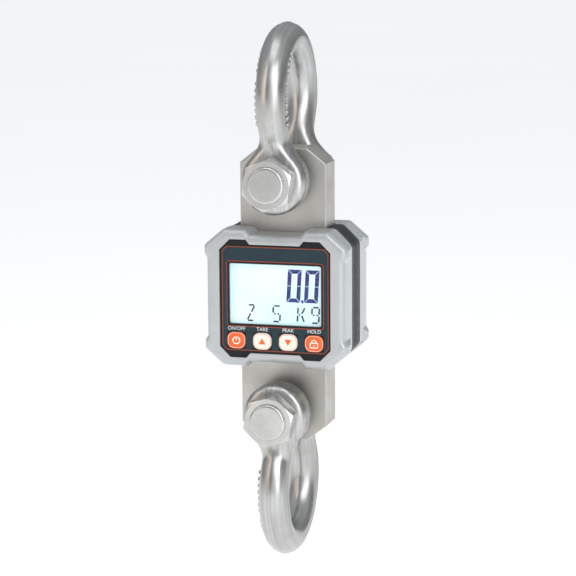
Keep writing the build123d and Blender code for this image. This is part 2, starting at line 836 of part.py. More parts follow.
def make_cables():
    cover_inside = -cell_face + cover_thickness
    socket_y = -board_back + connector_size[1] / 2
    socket_top = centre_z - 30 + connector_size[2] / 2
    make_cable(
        "gauge_cable",
        [
            (0, cover_inside, centre_z),
            (0, -cell_face - 4.5, centre_z),
            (0, -cell_face - 5.5, centre_z - 12),
            (0, socket_y, centre_z - 18),
            (0, socket_y, socket_top),
        ],
        [3.5, 8.0, 6.0],
    )
    side_x = cell_width / 2 + 6
    tray_y = tray_floor_back + 3
    make_cable(
        "battery_cable",
        [
            (tray_half_width + stack_play, tray_y, centre_z + 10),
            (side_x, tray_y, centre_z + 10),
            (side_x, socket_y, centre_z + 10),
            (30 + connector_size[0] / 2, socket_y, centre_z + 10),
        ],
        [5.0, 5.0],
    )


# === batteries ==================================================================================================


def make_batteries():
    spots = [(i - (cell_count - 1) / 2) * battery_pitch for i in range(cell_count)]
    plus_end = tray_half_height - contact_thickness
    spring_room = 2 * plus_end - battery_length - battery_nub
    with BuildPart() as batteries:
        for i, x in enumerate(spots):
            up = 1 if i % 2 == 0 else -1
            foot = centre_z + up * (plus_end - battery_nub - battery_length)
            with BuildSketch(Plane(origin=(x, battery_y, foot), z_dir=(0, 0, up))):
                Circle(battery_radius)
            extrude(amount=battery_length)
            with BuildSketch(Plane(origin=(x, battery_y, foot), z_dir=(0, 0, up))):
                Circle(battery_nub_radius)
            extrude(amount=battery_length + battery_nub)
    save(batteries, "batteries")
    with BuildPart() as plates:
        for end in (1, -1):
            with BuildSketch(Plane(origin=(0, battery_y, centre_z + end * tray_half_height), z_dir=(0, 0, end))):
                with Locations(*[(x, 0) for x in spots]):
                    Rectangle(contact_size, contact_size)
            extrude(amount=-contact_thickness)
    save(plates, "contact_plates")
    with BuildPart() as springs:
        for i, x in enumerate(spots):
            up = 1 if i % 2 == 0 else -1
            low = -plus_end if up == 1 else plus_end - spring_room
            height = spring_room - 2 * spring_wire - 2 * stack_play
            with BuildLine():
                coil = Helix(
                    pitch=height / spring_turns,
                    height=height,
                    radius=spring_radius,
                    center=(x, battery_y, centre_z + low + spring_wire + stack_play),
                )
            with BuildSketch(Plane(origin=coil @ 0, z_dir=coil % 0)):
                Circle(spring_wire)
            sweep(path=coil, is_frenet=True)
    save(springs, "contact_springs")


def make_battery_door():
    with BuildPart() as door:
        with BuildSketch(front(back_depth)):
            RectangleRounded(door_width, door_height, door_rounding)
            with Locations((-door_screw_x, 0), (door_screw_x, 0)):
                Circle(m3_radius, mode=Mode.SUBTRACT)
        extrude(amount=door_thickness)
        chamfer(door.edges().group_by(Axis.Y)[-1].filter_by(lambda e: e.length > 3 * m3_radius * math.pi), length=0.4)
    save(door, "battery_door")
    with BuildPart() as seal:
        with BuildSketch(front(door_seat)):
            RectangleRounded(door_width, door_height, door_rounding)
            Rectangle(2 * tray_half_width, 2 * tray_half_height, mode=Mode.SUBTRACT)
            with Locations((-door_screw_x, 0), (door_screw_x, 0)):
                Circle(m3_radius, mode=Mode.SUBTRACT)
        extrude(amount=-door_gasket)
    save(seal, "door_gasket")
    with BuildPart() as screws:
        with BuildSketch(front(back_depth)):
            with Locations((-door_screw_x, 0), (door_screw_x, 0)):
                Circle(m3_head_radius)
        extrude(amount=-m3_head_height)
        fillet(screws.edges().group_by(Axis.Y)[-1], radius=0.6)
        with BuildSketch(front(back_depth)):
            with Locations((-door_screw_x, 0), (door_screw_x, 0)):
                Circle(m3_radius)
        extrude(amount=m3_length)
    save(screws, "door_screws")


# === fasteners ==================================================================================================


def make_cap_screws(name, spots, head_y, length):
    with BuildPart() as screws:
        with BuildSketch(front(head_y)):
            with Locations(*spots):
                Circle(m4_head_radius)
        extrude(amount=-m4_head_height)
        fillet(screws.edges().group_by(Axis.Y)[-1], radius=0.4)
        with BuildSketch(front(head_y + m4_head_height)):
            with Locations(*spots):
                RegularPolygon(radius=1.5, side_count=6, major_radius=False)
        extrude(amount=2, mode=Mode.SUBTRACT)
        with BuildSketch(front(head_y)):
            with Locations(*spots):
                Circle(m4_radius)
        extrude(amount=length)
    save(screws, name)


def main():
    os.makedirs("parts", exist_ok=True)
    for name, pin_z, up in (("upper", upper_pin_z, 1), ("lower", lower_pin_z, -1)):
        make_bow(name, pin_z, up)
        make_bolt(name, pin_z, up, hex_turns[name])
        make_nut(name, pin_z, up, hex_turns[name])
        make_cotter(name, pin_z, up)
    make_load_cell()
    make_pocket_covers()
    make_gauges()
    make_front_housing()
    make_rear_housing()
    make_side_bands()
    make_plate_gaskets()
    make_label()
    make_lens()
    make_keys()
    make_switches()
    make_display()
    make_board()
    make_board_parts()
    make_cables()
    make_batteries()
    make_battery_door()
    make_cap_screws("corner_screws", corner_spots, back_depth - corner_well_depth, corner_screw_length)
    make_cap_screws("cell_screws", [(0, well_z), (0, -well_z)], cell_face + well_floor, cell_screw_length)


main()
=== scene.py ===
import math

import bpy
from mathutils import Matrix, Vector


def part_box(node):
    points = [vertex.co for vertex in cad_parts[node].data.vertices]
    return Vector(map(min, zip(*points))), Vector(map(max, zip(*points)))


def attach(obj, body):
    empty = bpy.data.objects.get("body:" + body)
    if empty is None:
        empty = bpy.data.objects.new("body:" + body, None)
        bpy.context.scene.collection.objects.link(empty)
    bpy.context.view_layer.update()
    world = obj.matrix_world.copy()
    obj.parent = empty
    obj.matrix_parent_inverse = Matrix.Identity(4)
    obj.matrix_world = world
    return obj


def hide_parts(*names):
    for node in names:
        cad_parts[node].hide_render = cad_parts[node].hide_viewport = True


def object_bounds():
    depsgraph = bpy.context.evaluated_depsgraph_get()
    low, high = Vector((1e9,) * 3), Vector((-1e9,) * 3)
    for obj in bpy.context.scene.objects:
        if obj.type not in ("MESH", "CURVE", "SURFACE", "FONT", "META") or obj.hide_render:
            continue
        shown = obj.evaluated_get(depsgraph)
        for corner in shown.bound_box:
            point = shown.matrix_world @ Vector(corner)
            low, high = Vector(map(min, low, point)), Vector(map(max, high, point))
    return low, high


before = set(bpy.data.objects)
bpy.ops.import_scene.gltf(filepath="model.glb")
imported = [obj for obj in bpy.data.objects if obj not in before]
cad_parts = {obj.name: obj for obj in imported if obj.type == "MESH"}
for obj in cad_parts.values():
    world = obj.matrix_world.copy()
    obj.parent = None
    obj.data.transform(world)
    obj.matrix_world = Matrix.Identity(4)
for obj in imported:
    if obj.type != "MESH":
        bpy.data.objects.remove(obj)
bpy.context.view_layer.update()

# Looks of a shackle-type crane scale: steel, silver-grey housing, printed panel, lit display and
# rubber keys.
# Everything is in metres in the part's own frame: +Z up, the display faces -Y.

MM = 0.001
QUARTER_TURN = math.pi / 2

# --- sizes of the printed and moulded detail -----------------------------------------------------
PRINT_LIFT = 0.03 * MM  # each layer of print stands this far in front of the one under it
BORDER = 1.7 * MM  # black edge of the label outside its orange line
LINE = 0.55 * MM  # width of the orange lines
NOTCH_HALF = 23.4 * MM  # half width of the label's notches at its edge
NOTCH_SLOPE = 3.2 * MM
NOTCH_DEPTH = 3.8 * MM
LABEL_CUT = 8.5 * MM  # taken off each corner along both edges
SAME_PLANE = math.radians(1)  # faces within this angle are merged
WINDOW_HALF_WIDTH = 37.3 * MM
WINDOW_HALF_HEIGHT = 24.0 * MM
WINDOW_LINE_GAP = 1.9 * MM
WINDOW_LINE_CORNER = 2.5 * MM
DIGIT_HEIGHT = 26.4 * MM
DIGIT_WIDTH = 11.6 * MM
DIGIT_STROKE = 3.6 * MM
DIGIT_GAP = 0.18 * MM
SLANT = 0.06  # sideways lean of the display's characters for each unit of height
LETTER_HALF_WIDTH = 2.9 * MM
LETTER_HALF_HEIGHT = 6.2 * MM
LETTER_STROKE = 1.35 * MM
SEGMENT_GAP = LETTER_STROKE * 1.1  # by this much a small segment is shorter than its run
WORD_SIZE = 4.0 * MM
WORD_RISE = 0.6 * MM  # from a key's top to its word
KEY_FLANGE = 1.0 * MM  # stays behind the label
KEY_GAP = 0.25 * MM  # between a key and the label round it
BAR_RADIUS = 12.2 * MM
# Each key's word and the name of its colour, which picks the colour of the rim and sign printed on it.
KEYS = {
    "power": ("ON/OFF", "orange_key"),
    "tare": ("TARE", "cream_key"),
    "peak": ("PEAK", "cream_key"),
    "hold": ("HOLD", "orange_key"),
}


def deselect():
    """Leaves nothing selected."""
    bpy.ops.object.select_all(action="DESELECT")


def only(piece):
    """Makes one piece the selected and active one."""
    deselect()
    piece.select_set(True)
    bpy.context.view_layer.objects.active = piece


def take(name):
    """Names the object that an operator has just added and puts its place into its mesh."""
    piece = bpy.context.object
    piece.name = name
    piece.data.name = name
    only(piece)
    bpy.ops.object.transform_apply(location=True, rotation=True, scale=True)
    return piece


def edit(piece, mode="FACE"):
    """Opens a piece for editing with everything selected."""
    only(piece)
    bpy.ops.object.mode_set(mode="EDIT")
    bpy.ops.mesh.select_mode(type=mode)
    bpy.ops.mesh.select_all(action="SELECT")


def done():
    """Closes the piece that is open for editing."""
    bpy.ops.object.mode_set(mode="OBJECT")


def pick_faces(piece, wanted):
    """In an open piece, selects just the faces whose centre the test wants."""
    bpy.ops.mesh.select_all(action="DESELECT")
    done()
    for face in piece.data.polygons:
        face.select = wanted(face.center)
    bpy.ops.object.mode_set(mode="EDIT")


def cut(piece, point, normal, drop=False):
    """Cuts an open piece along a plane, and drops what is on the normal's side if asked."""
    bpy.ops.mesh.select_all(action="SELECT")
    bpy.ops.mesh.bisect(plane_co=point, plane_no=normal, clear_outer=drop)
    bpy.ops.mesh.select_all(action="SELECT")


def sheet_piece(name, x, y, z, width, height):
    """A flat sheet that faces the reader, its middle at x, y, z."""
    deselect()
    bpy.ops.mesh.primitive_plane_add(size=1, location=(x, y, z), rotation=(QUARTER_TURN, 0, 0))
    bpy.context.object.scale = (width, height, 1)
    return take(name)


def join(name, pieces):
    """Makes one piece of several."""
    deselect()
    for piece in pieces:
        piece.select_set(True)
    bpy.context.view_layer.objects.active = pieces[0]
    if len(pieces) > 1:
        bpy.ops.object.join()
    pieces[0].name = name
    pieces[0].data.name = name
    return pieces[0]


def paint(piece, material):
    """Gives a piece one finish all over."""
    if not piece.material_slots:
        piece.data.materials.append(material)
    for place in piece.material_slots:
        place.material = material


def fit_out(piece, material, body):
    """Paints a new piece and joins it to a body."""
    paint(piece, material)
    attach(piece, body)


# === finishes ====================================================================================


def colour(code):
    """An sRGB hex colour as a linear one."""
    parts = [int(code[i : i + 2], 16) / 255 for i in (1, 3, 5)]
    return tuple(p / 12.92 if p <= 0.04045 else ((p + 0.055) / 1.055) ** 2.4 for p in parts) + (1.0,)


def add(tree, kind, sockets=(), **settings):
    """Adds a node with its settings; a socket is given a value or another node's output to take."""
    node = tree.nodes.new(kind)
    for name, value in settings.items():
        setattr(node, name, value)
    for name, value in dict(sockets).items():
        if isinstance(value, bpy.types.NodeSocket):
            tree.links.new(value, node.inputs[name])
        else:
            node.inputs[name].default_value = value
    return node


def finish(name, **sockets):
    """Starts a material and gives back its tree, its shader and the piece's own coordinates."""
    material = bpy.data.materials.new(name)
    material.use_nodes = True
    tree = material.node_tree
    shader = tree.nodes["Principled BSDF"]
    for socket, value in sockets.items():
        shader.inputs[socket.replace("_", " ")].default_value = value
    place = add(tree, "ShaderNodeTexCoord").outputs["Object"]
    return material, tree, shader, place


NOISE_LOW = 0.3  # nearly all of the noise lies between these two
NOISE_HIGH = 0.7


def mottled(tree, place, size, low, high, detail=3.0, stretch=(1, 1, 1)):
    """Noise whose lumps are that many metres across, brought into the span from low to high."""
    scaled = add(tree, "ShaderNodeMapping", {"Vector": place, "Scale": stretch})
    noise = add(
        tree, "ShaderNodeTexNoise", {"Vector": scaled.outputs[0], "Scale": 1 / size, "Detail": detail}
    )
    sockets = {"Value": noise.outputs["Fac"], "From Min": NOISE_LOW, "From Max": NOISE_HIGH}
    sockets.update({"To Min": low, "To Max": high})
    span = add(tree, "ShaderNodeMapRange", sockets)
    return span.outputs["Result"]


def blend(tree, amount, one, other):
    """A colour between two others, each a colour or an output."""
    mix = add(tree, "ShaderNodeMix", {0: amount, 6: one, 7: other}, data_type="RGBA")
    return mix.outputs[2]


def relief(tree, shader, height, depth, under=None):
    """Bump of that depth in metres, over another bump if one is given."""
    sockets = {"Height": height, "Distance": depth, "Strength": 1.0}
    if under is not None:
        sockets["Normal"] = under
    bump = add(tree, "ShaderNodeBump", sockets)
    tree.links.new(bump.outputs["Normal"], shader.inputs["Normal"])
    return bump.outputs["Normal"]


def forged_steel(name, light, dark, rough, drag_marks):
    """Drop-forged steel, shot-blasted, zinc plated and handled: slow dents and duller patches."""
    material, tree, shader, place = finish(name, Metallic=1.0)
    patches = mottled(tree, place, 26 * MM, 0.0, 1.0, detail=4.0)
    tone = blend(tree, patches, colour(light), colour(dark))
    # Each line keeps one x all along the bow, so it runs with the bar as the die's drag marks do.
    drag = mottled(tree, place, 1.6 * MM, 0.0, drag_marks, detail=3.0, stretch=(1, 0.02, 0.02))
    tree.links.new(blend(tree, drag, tone, colour("#85837E")), shader.inputs["Base Color"])
    gloss = mottled(tree, place, 9 * MM, rough, rough + 0.1, detail=4.0)
    tree.links.new(gloss, shader.inputs["Roughness"])
    # The hammered surface is uneven over about 12 mm, and more slowly from top to bottom.
    swell = mottled(tree, place, 12 * MM, 0.0, 1.0, detail=0.0, stretch=(1, 1, 0.45))
    dents = relief(tree, shader, swell, 0.03 * MM)
    # Blasting leaves a grain of about 0.3 mm, drawn at 0.7 mm so that it can be seen.
    grain = mottled(tree, place, 0.7 * MM, 0.0, 1.0, detail=2.0)
    relief(tree, shader, grain, 0.003 * MM, under=dents)
    return material


def ground_steel():
    """Alloy steel plate, ground along its length and nickel plated: satin, with fine lines."""
    material, tree, shader, place = finish("ground_nickel_plated_steel", Metallic=1.0)
    # Grinding lines are about 0.2 mm apart and are drawn at 0.6 mm so that they can be seen.
    lines = mottled(tree, place, 0.6 * MM, 0.0, 1.0, detail=2.0, stretch=(1, 1, 0.02))
    cloud = mottled(tree, place, 40 * MM, 0.0, 1.0, detail=3.0)
    base = blend(tree, cloud, colour("#C9C8C4"), colour("#B9B5AE"))
    tree.links.new(base, shader.inputs["Base Color"])
    tree.links.new(mottled(tree, place, 14 * MM, 0.36, 0.5), shader.inputs["Roughness"])
    relief(tree, shader, lines, 0.01 * MM)
    return material


def turned_steel(name, code, rough):
    """Small zinc-plated steel parts, turned or stamped: clean and fairly bright."""
    material, tree, shader, place = finish(name, Metallic=1.0)
    wear = mottled(tree, place, 3 * MM, 0.0, 0.5)
    tree.links.new(blend(tree, wear, colour(code), colour("#8F8C85")), shader.inputs["Base Color"])
    tree.links.new(mottled(tree, place, 1.5 * MM, rough, rough + 0.12), shader.inputs["Roughness"])
    return material


def painted_shell():
    """ABS moulding sprayed silver grey: fine orange peel, satin gloss and a little metal flake."""
    material, tree, shader, place = finish("silver_painted_abs", Metallic=0.25, IOR=1.5)
    shader.inputs["Coat Weight"].default_value = 0.6
    shader.inputs["Coat Roughness"].default_value = 0.14
    cloud = mottled(tree, place, 30 * MM, 0.0, 1.0)
    base = blend(tree, cloud, colour("#B9BDBF"), colour("#AEB2B4"))
    flake = mottled(tree, place, 0.5 * MM, 0.0, 0.22, detail=1.0)
    tree.links.new(blend(tree, flake, base, colour("#D3D6D8")), shader.inputs["Base Color"])
    tree.links.new(mottled(tree, place, 6 * MM, 0.3, 0.38), shader.inputs["Roughness"])
    relief(tree, shader, mottled(tree, place, 1.6 * MM, 0.0, 1.0, detail=1.0), 0.008 * MM)
    return material


def moulded_rubber(name, light, dark, rough, grain):
    """Moulded rubber: nearly black or coloured through, with a fine matt grain and slight bloom."""
    material, tree, shader, place = finish(name, IOR=1.5)
    bloom = mottled(tree, place, 8 * MM, 0.0, 1.0)
    tree.links.new(blend(tree, bloom, colour(light), colour(dark)), shader.inputs["Base Color"])
    tree.links.new(mottled(tree, place, 4 * MM, rough, rough + 0.1), shader.inputs["Roughness"])
    relief(tree, shader, mottled(tree, place, grain, 0.0, 1.0, detail=1.0), 0.02 * MM)
    return material


def printed_film(name, light, dark):
    """Ink on the back of a polyester film: even colour behind a velvet-smooth, slightly pebbled face."""
    material, tree, shader, place = finish(name, IOR=1.57, Specular_IOR_Level=0.25)
    cloud = mottled(tree, place, 22 * MM, 0.0, 1.0)
    tree.links.new(blend(tree, cloud, colour(light), colour(dark)), shader.inputs["Base Color"])
    tree.links.new(mottled(tree, place, 5 * MM, 0.3, 0.38), shader.inputs["Roughness"])
    # The film's velvet texture is about 0.1 mm, drawn at 0.5 mm so that it can be seen.
    relief(tree, shader, mottled(tree, place, 0.5 * MM, 0.0, 1.0, detail=1.0), 0.004 * MM)
    return material


def lit_display():
    """Backlit liquid-crystal cell: pale cyan, lit a little unevenly."""
    material, tree, shader, place = finish("lit_liquid_crystal_cell", IOR=1.5, Roughness=0.35)
    spread = mottled(tree, place, 45 * MM, 0.0, 1.0, detail=1.0)
    tone = blend(tree, spread, colour("#D3EDF1"), colour("#C6E6EC"))
    tree.links.new(tone, shader.inputs["Base Color"])
    tree.links.new(tone, shader.inputs["Emission Color"])
    shader.inputs["Emission Strength"].default_value = 0.34
    return material


def dark_crystal(name, code):
    """Switched-on liquid-crystal segments: flat dark shapes just in front of the lit cell."""
    material, tree, shader, place = finish(name, IOR=1.5, Roughness=0.4, Specular_IOR_Level=0.1)
    depth = mottled(tree, place, 2 * MM, 0.0, 0.35)
    tree.links.new(blend(tree, depth, colour(code), colour("#26289A")), shader.inputs["Base Color"])
    return material


def clear_acrylic():
    """Clear cast acrylic window: seen through, with a weak gloss and faint rub marks."""
    material, tree, shader, place = finish("clear_acrylic", IOR=1.49, Alpha=0.03)
    shader.inputs["Base Color"].default_value = colour("#F4FBFC")
    tree.links.new(mottled(tree, place, 6 * MM, 0.04, 0.1), shader.inputs["Roughness"])
    return material


def circuit_board():
    """Fibreglass board under green solder mask, with tracks just showing through."""
    material, tree, shader, place = finish("green_solder_mask", IOR=1.5, Roughness=0.35)
    tracks = add(tree, "ShaderNodeTexBrick", {"Vector": place, "Scale": 260.0, "Mortar Size": 0.06})
    tree.links.new(
        blend(tree, tracks.outputs["Fac"], colour("#135235"), colour("#2C7A50")), shader.inputs["Base Color"]
    )
    return material


def plain_moulding(name, code, rough):
    """Small moulded plastic parts inside the housing: even colour with a fine spark-eroded grain."""
    material, tree, shader, place = finish(name, IOR=1.5)
    shade = mottled(tree, place, 5 * MM, 0.0, 0.3)
    tree.links.new(blend(tree, shade, colour(code), colour("#7A7A78")), shader.inputs["Base Color"])
    tree.links.new(mottled(tree, place, 2 * MM, rough, rough + 0.1), shader.inputs["Roughness"])
    relief(tree, shader, mottled(tree, place, 0.6 * MM, 0.0, 1.0), 0.01 * MM)
    return material


def floor_paint():
    """Matt white studio floor."""
    material, tree, shader, place = finish("matt_white_floor", Roughness=0.9)
    tree.links.new(
        blend(tree, mottled(tree, place, 0.8, 0.0, 1.0), colour("#FFFFFF"), colour("#FCFCFC")),
        shader.inputs["Base Color"],
    )
    shader.inputs["Emission Color"].default_value = colour("#FFFFFF")
    shader.inputs["Emission Strength"].default_value = 0.42
    return material


forged = forged_steel("zinc_plated_forging", "#CBCDCD", "#B9B9B6", 0.27, 0.5)
bolt_metal = forged_steel("zinc_plated_bolt", "#D2D3D2", "#BEBEBA", 0.24, 0.0)
ground = ground_steel()
shell = painted_shell()
band_rubber = moulded_rubber("black_band_rubber", "#1F262A", "#282F34", 0.42, 0.7 * MM)
seal_rubber = moulded_rubber("black_seal_rubber", "#18191A", "#222324", 0.6, 0.5 * MM)
orange_rubber = moulded_rubber("orange_silicone", "#F26A2A", "#EA5E20", 0.42, 0.5 * MM)
cream_rubber = moulded_rubber("cream_silicone", "#FFF3E8", "#F8EADC", 0.42, 0.5 * MM)
black_ink = printed_film("black_ink_on_film", "#0E1012", "#131619")
slate_ink = printed_film("slate_ink_on_film", "#1F323B", "#23373F")
orange_ink = printed_film("orange_ink_on_film", "#A64C34", "#9A442E")
white_ink = printed_film("white_ink_on_film", "#E9EEF0", "#DDE3E6")
display_light = lit_display()
digit_ink = dark_crystal("digit_segments", "#1B1974")
letter_ink = dark_crystal("letter_segments", "#141B2C")
acrylic = clear_acrylic()
screw_metal = turned_steel("zinc_plated_screw", "#BDBBB3", 0.25)
spring_metal = turned_steel("nickel_plated_spring", "#C9C5BC", 0.2)
copper = turned_steel("bare_copper", "#B87A52", 0.3)
board_green = circuit_board()
white_moulding = plain_moulding("white_moulding", "#DCDAD2", 0.45)
black_moulding = plain_moulding("black_moulding", "#1B1B1C", 0.45)
sleeve = plain_moulding("battery_sleeve", "#26292E", 0.3)

NODE_FINISHES = {
    forged: ("upper_bow", "lower_bow"),
    bolt_metal: ("upper_bolt", "lower_bolt", "upper_nut", "lower_nut"),
    screw_metal: (
        "upper_split_pin", "lower_split_pin", "door_screws", "corner_screws", "cell_screws", "board_screws",
        "front_pocket_cover", "rear_pocket_cover", "radio_module",
    ),
    ground: ("load_cell_plate",),
    shell: ("front_housing", "rear_housing", "battery_door"),
    band_rubber: ("left_side_band", "right_side_band"),
    seal_rubber: ("plate_gaskets", "door_gasket", "gauge_cable", "battery_cable"),
    black_ink: ("panel_label",),
    acrylic: ("window_lens",),
    orange_rubber: ("power_key", "hold_key"),
    cream_rubber: ("tare_key", "peak_key"),
    display_light: ("display_glass",),
    white_moulding: ("backlight", "display_frame", "board_sockets"),
    black_moulding: (
        "key_switches", "board_chips", "power_plunger", "tare_plunger", "peak_plunger", "hold_plunger",
    ),
    board_green: ("main_board", "gauge_terminal_board"),
    copper: ("strain_gauges", "radio_antenna"),
    spring_metal: ("contact_plates", "contact_springs"),
    sleeve: ("batteries",),
}
for material, names in NODE_FINISHES.items():
    for name in names:
        paint(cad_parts[name], material)


# === printed panel ===============================================================================

label_low, label_high = (Vector(corner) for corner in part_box("panel_label"))
label_middle = (label_low + label_high) / 2
label_face = label_low.y
glass_low, glass_high = (Vector(corner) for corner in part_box("display_glass"))
window_middle = (glass_low + glass_high) / 2


def badge_sheet(name, y, shrink):
    """A sheet with cut corners and two notches, that much smaller than the label all round."""
    half_width = (label_high.x - label_low.x) / 2 - shrink
    half_height = (label_high.z - label_low.z) / 2 - shrink
    sheet = sheet_piece(name, label_middle.x, y, label_middle.z, 2 * half_width, 2 * half_height)
    corner_line = label_high.x - label_middle.x + (label_high.z - label_middle.z) - LABEL_CUT
    corner_line = corner_line - shrink * math.sqrt(2)
    slope_run = shrink * math.hypot(NOTCH_SLOPE, NOTCH_DEPTH) / NOTCH_DEPTH
    notch_floor = half_height - NOTCH_DEPTH
    edit(sheet)
    for side in (-1, 1):
        for up in (-1, 1):
            reach = Vector((side * corner_line, 0, 0))
            cut(sheet, label_middle + reach, (side, 0, up), drop=True)
            foot = Vector((side * (NOTCH_HALF + slope_run), 0, up * (half_height + shrink)))
            cut(sheet, label_middle + foot, (-NOTCH_DEPTH * side, 0, up * NOTCH_SLOPE))
    for up in (-1, 1):
        cut(sheet, label_middle + Vector((0, 0, up * notch_floor)), (0, 0, 1))

    def in_notch(centre):
        up = abs(centre.z - label_middle.z)
        edge = NOTCH_HALF + slope_run - (half_height + shrink - up) * NOTCH_SLOPE / NOTCH_DEPTH
        return up > notch_floor and abs(centre.x - label_middle.x) < edge

    pick_faces(sheet, in_notch)
    bpy.ops.mesh.delete(type="FACE")
    bpy.ops.mesh.select_all(action="SELECT")
    bpy.ops.mesh.dissolve_limited(angle_limit=SAME_PLANE)
    done()
    return sheet


def ring_from(sheet, width):
    """Leaves only a band of that width along the sheet's edge."""
    edit(sheet)
    bpy.ops.mesh.inset(thickness=width, depth=0, use_boundary=True)
    bpy.ops.mesh.delete(type="FACE")
    done()
    return sheet


def rounded_sheet(name, x, y, z, width, height, corner, steps=6):
    """A flat sheet with round corners."""
    sheet = sheet_piece(name, x, y, z, width, height)
    edit(sheet, "VERT")
    bpy.ops.mesh.bevel(offset=corner, segments=steps, affect="VERTICES")
    done()
    return sheet


def cut_window(sheet, half_width, half_height):
    """Opens a rectangle in a printed sheet for the window."""
    edit(sheet)
    for side in (-1, 1):
        cut(sheet, window_middle + Vector((side * half_width, 0, 0)), (1, 0, 0))
        cut(sheet, window_middle + Vector((0, 0, side * half_height)), (0, 0, 1))
    pick_faces(
        sheet,
        lambda c: abs(c.x - window_middle.x) < half_width and abs(c.z - window_middle.z) < half_height,
    )
    bpy.ops.mesh.delete(type="FACE")
    done()


def cut_keys(sheet):
    """Opens a rectangle in a printed sheet round each key."""
    edit(sheet)
    spans = []
    for key in KEYS:
        low, high = (Vector(corner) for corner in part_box(key + "_key"))
        rim = KEY_FLANGE - KEY_GAP
        spans.append((low.x + rim, high.x - rim, low.z + rim, high.z - rim))
    for left, right, bottom, top in spans:
        for x in (left, right):
            cut(sheet, (x, 0, 0), (1, 0, 0))
    for z in spans[0][2:]:
        cut(sheet, (0, 0, z), (0, 0, 1))
    pick_faces(sheet, lambda c: any(a < c.x < b and d < c.z < e for a, b, d, e in spans))
    bpy.ops.mesh.delete(type="FACE")
    done()


def print_panel():
    """The label's inks, each a thin layer on the black film."""
    level = label_face - PRINT_LIFT
    outline = ring_from(badge_sheet("panel_outline", level, BORDER), LINE)
    fit_out(outline, orange_ink, "scale_body")
    field = badge_sheet("panel_field", level, BORDER + LINE)
    half_width = WINDOW_HALF_WIDTH + WINDOW_LINE_GAP
    half_height = WINDOW_HALF_HEIGHT + WINDOW_LINE_GAP
    cut_window(field, half_width, half_height)
    cut_keys(field)
    fit_out(field, slate_ink, "scale_body")
    window_line = rounded_sheet(
        "panel_window_line", window_middle.x, level - PRINT_LIFT, window_middle.z,
        2 * (half_width + LINE / 2), 2 * (half_height + LINE / 2), WINDOW_LINE_CORNER,
    )
    fit_out(ring_from(window_line, LINE), orange_ink, "scale_body")


def print_words():
    """The key names, in small plain capitals above the keys."""
    for key, (word, _) in KEYS.items():
        low, high = (Vector(corner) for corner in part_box(key + "_key"))
        deselect()
        bpy.ops.object.text_add(
            location=((low.x + high.x) / 2, label_face - 2 * PRINT_LIFT, high.z + WORD_RISE),
            rotation=(QUARTER_TURN, 0, 0),
        )
        text = bpy.context.object
        text.data.body = word
        text.data.size = WORD_SIZE
        text.data.align_x = "CENTER"
        bpy.ops.object.convert(target="MESH")
        fit_out(take("word_" + key), white_ink, "scale_body")


# === display =====================================================================================


def lean(piece, foot):
    """Leans a character to the right about its foot."""
    slide = Matrix.Identity(4)
    slide[0][2] = SLANT
    piece.data.transform(Matrix.Translation((0, 0, foot)) @ slide @ Matrix.Translation((0, 0, -foot)))


def digit_zero(name, x, y, z):
    """A nought of six segments with mitred ends."""
    digit = sheet_piece(name, x, y, z, DIGIT_WIDTH, DIGIT_HEIGHT)
    edit(digit)
    bpy.ops.mesh.inset(thickness=DIGIT_STROKE, depth=0, use_boundary=True)
    bpy.ops.mesh.delete(type="FACE")
    cut(digit, (x, y, z), (0, 0, 1))
    bpy.ops.mesh.select_all(action="SELECT")
    bpy.ops.mesh.inset(thickness=DIGIT_GAP, depth=0, use_boundary=True, use_individual=True)
    bpy.ops.mesh.select_all(action="INVERT")
    bpy.ops.mesh.delete(type="FACE")
    done()
    return digit


def segment_bar(name, start, end, y):
    """One straight segment of a small letter between two points of the display."""
    run = Vector((end[0] - start[0], 0, end[1] - start[1]))
    length = run.length - SEGMENT_GAP
    deselect()
    bpy.ops.mesh.primitive_plane_add(
        size=1,
        location=((start[0] + end[0]) / 2, y, (start[1] + end[1]) / 2),
        rotation=(QUARTER_TURN, -math.atan2(run.z, run.x), 0),
    )
    bpy.context.object.scale = (length, LETTER_STROKE, 1)
    return take(name)


# The two ends of each segment of a small letter: across and up, in half widths and half heights.
SEGMENTS = {
    "top": ((-1, 1), (1, 1)), "foot": ((-1, -1), (1, -1)),
    "middle_left": ((-1, 0), (0, 0)), "middle_right": ((0, 0), (1, 0)),
    "left_up": ((-1, 0), (-1, 1)), "left_down": ((-1, -1), (-1, 0)),
    "right_up": ((1, 0), (1, 1)), "right_down": ((1, -1), (1, 0)),
    "slash_up": ((0, 0), (1, 1)), "slash_down": ((-1, -1), (0, 0)), "back_down": ((0, 0), (1, -1)),
}
# Each small letter's middle to the right of the window's middle, in mm, and its segments.
LETTERS = {
    "z": (-20.6, ("top", "slash_up", "slash_down", "foot")),
    "s": (0.3, ("top", "left_up", "middle_left", "middle_right", "right_down", "foot")),
    "k": (20.4, ("left_up", "left_down", "middle_left", "slash_up", "back_down")),
    "g": (31.8, ("top", "left_up", "right_up", "middle_left", "middle_right", "right_down", "foot")),
}
# Each digit's middle to the right of the window's middle, in mm.
DIGITS = {"units": 14.6, "tenths": 28.9}
DIGIT_RISE = 7.2 * MM  # middle of the digits above the window's middle
LETTER_DROP = 15.4 * MM  # middle of the small letters below it
POINT_X = 21.3 * MM
POINT_SIZE = 1.9 * MM
POINT_HEIGHT = POINT_SIZE * 1.3
POINT_CORNER = 0.4 * MM


